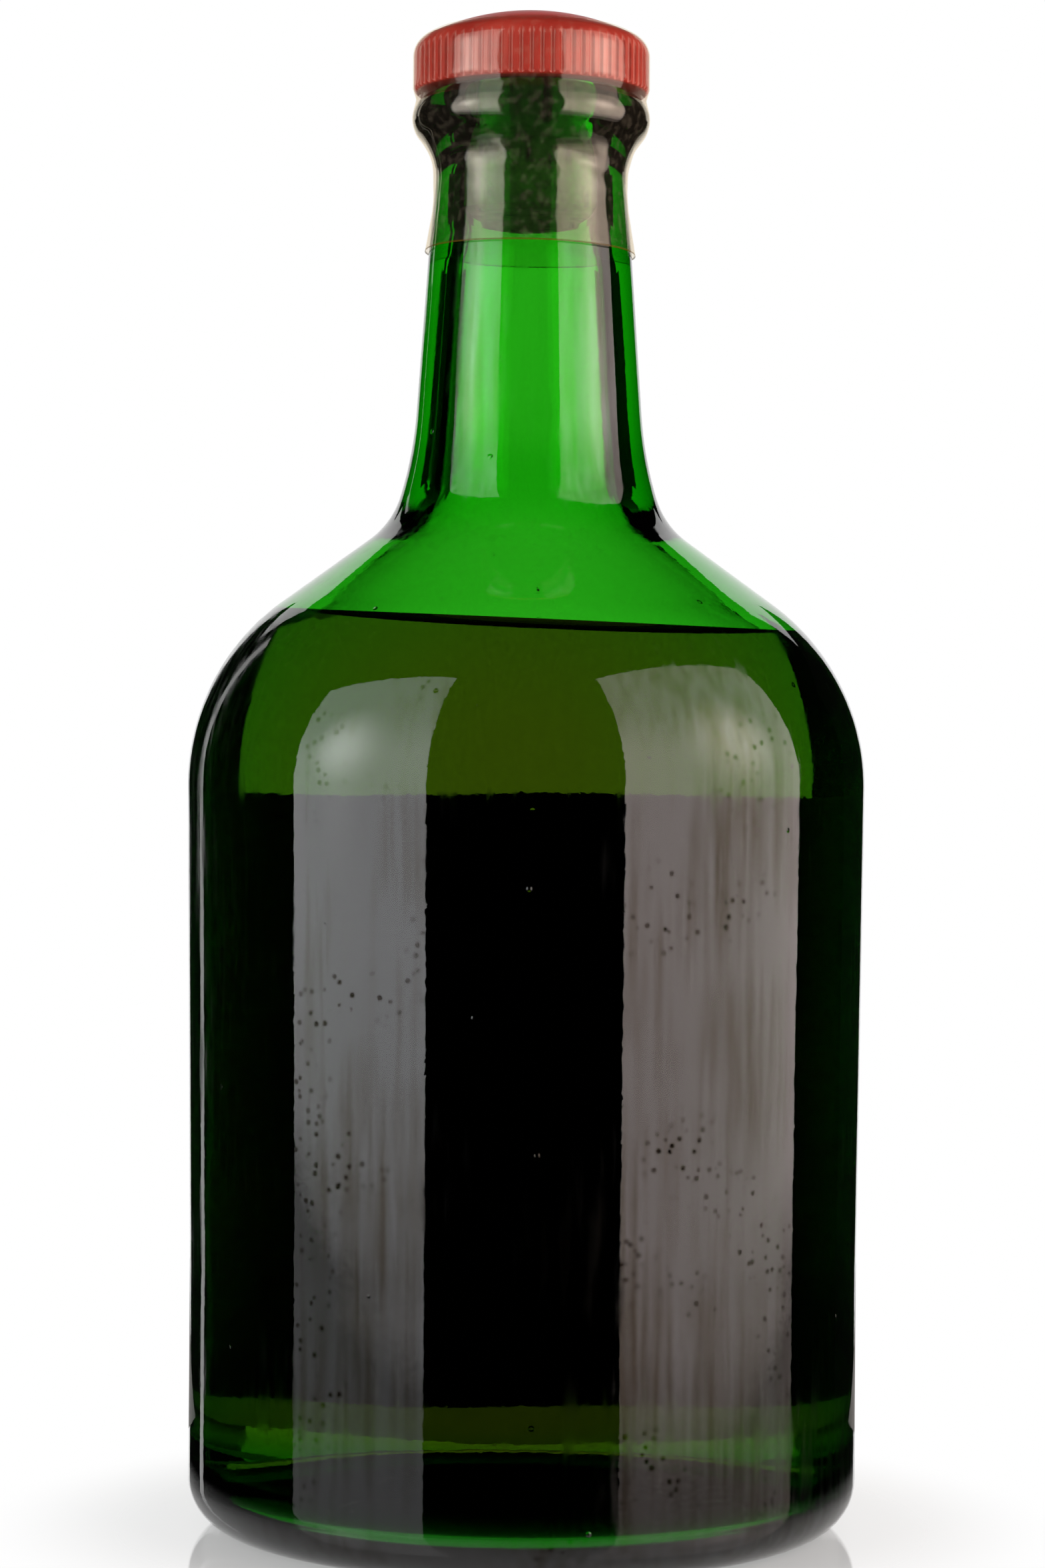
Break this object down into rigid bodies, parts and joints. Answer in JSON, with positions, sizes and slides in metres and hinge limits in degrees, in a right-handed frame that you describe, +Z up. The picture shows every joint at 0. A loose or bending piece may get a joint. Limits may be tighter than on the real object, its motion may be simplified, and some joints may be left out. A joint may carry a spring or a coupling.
{
  "type": "spirits bottle",
  "caption": "Squat green glass spirits bottle with a tapering neck and amber contents, closed by a ribbed domed stopper on a cork shank under a clear film sleeve.",
  "frame": {"origin": "middle of the foot ring, on the surface that the bottle stands on", "axes": "+Z up along the bottle's axis; the label faces +Y and the bare back faces -Y"},
  "size_m": [0.0976, 0.0977, 0.2177],
  "materials": {
    "green_glass": "gloss",
    "amber_spirit": "gloss",
    "red_plastic": "gloss",
    "cork": "matte",
    "clear_film": "gloss",
    "label_paper": "matte"
  },
  "bodies": {
    "bottle": {"bottle": "green_glass", "bottle_neck": "green_glass", "spirit": "amber_spirit", "sleeve_neck": "clear_film", "front_label": "label_paper"},
    "head_film": {"sleeve_top": "clear_film"},
    "stopper": {"stopper_head": "red_plastic", "stopper_cork": "cork"}
  },
  "joints": [
    {"name": "stopper_pull", "type": "slide", "parent": "bottle", "child": "head_film", "axis": [0, 0, 1], "range_m": [0, 0.03]},
    {"name": "stopper_twist", "type": "hinge", "parent": "head_film", "child": "stopper", "pos_m": [0, 0, 0.2062], "axis": [0, 0, 1], "continuous": true}
  ]
}
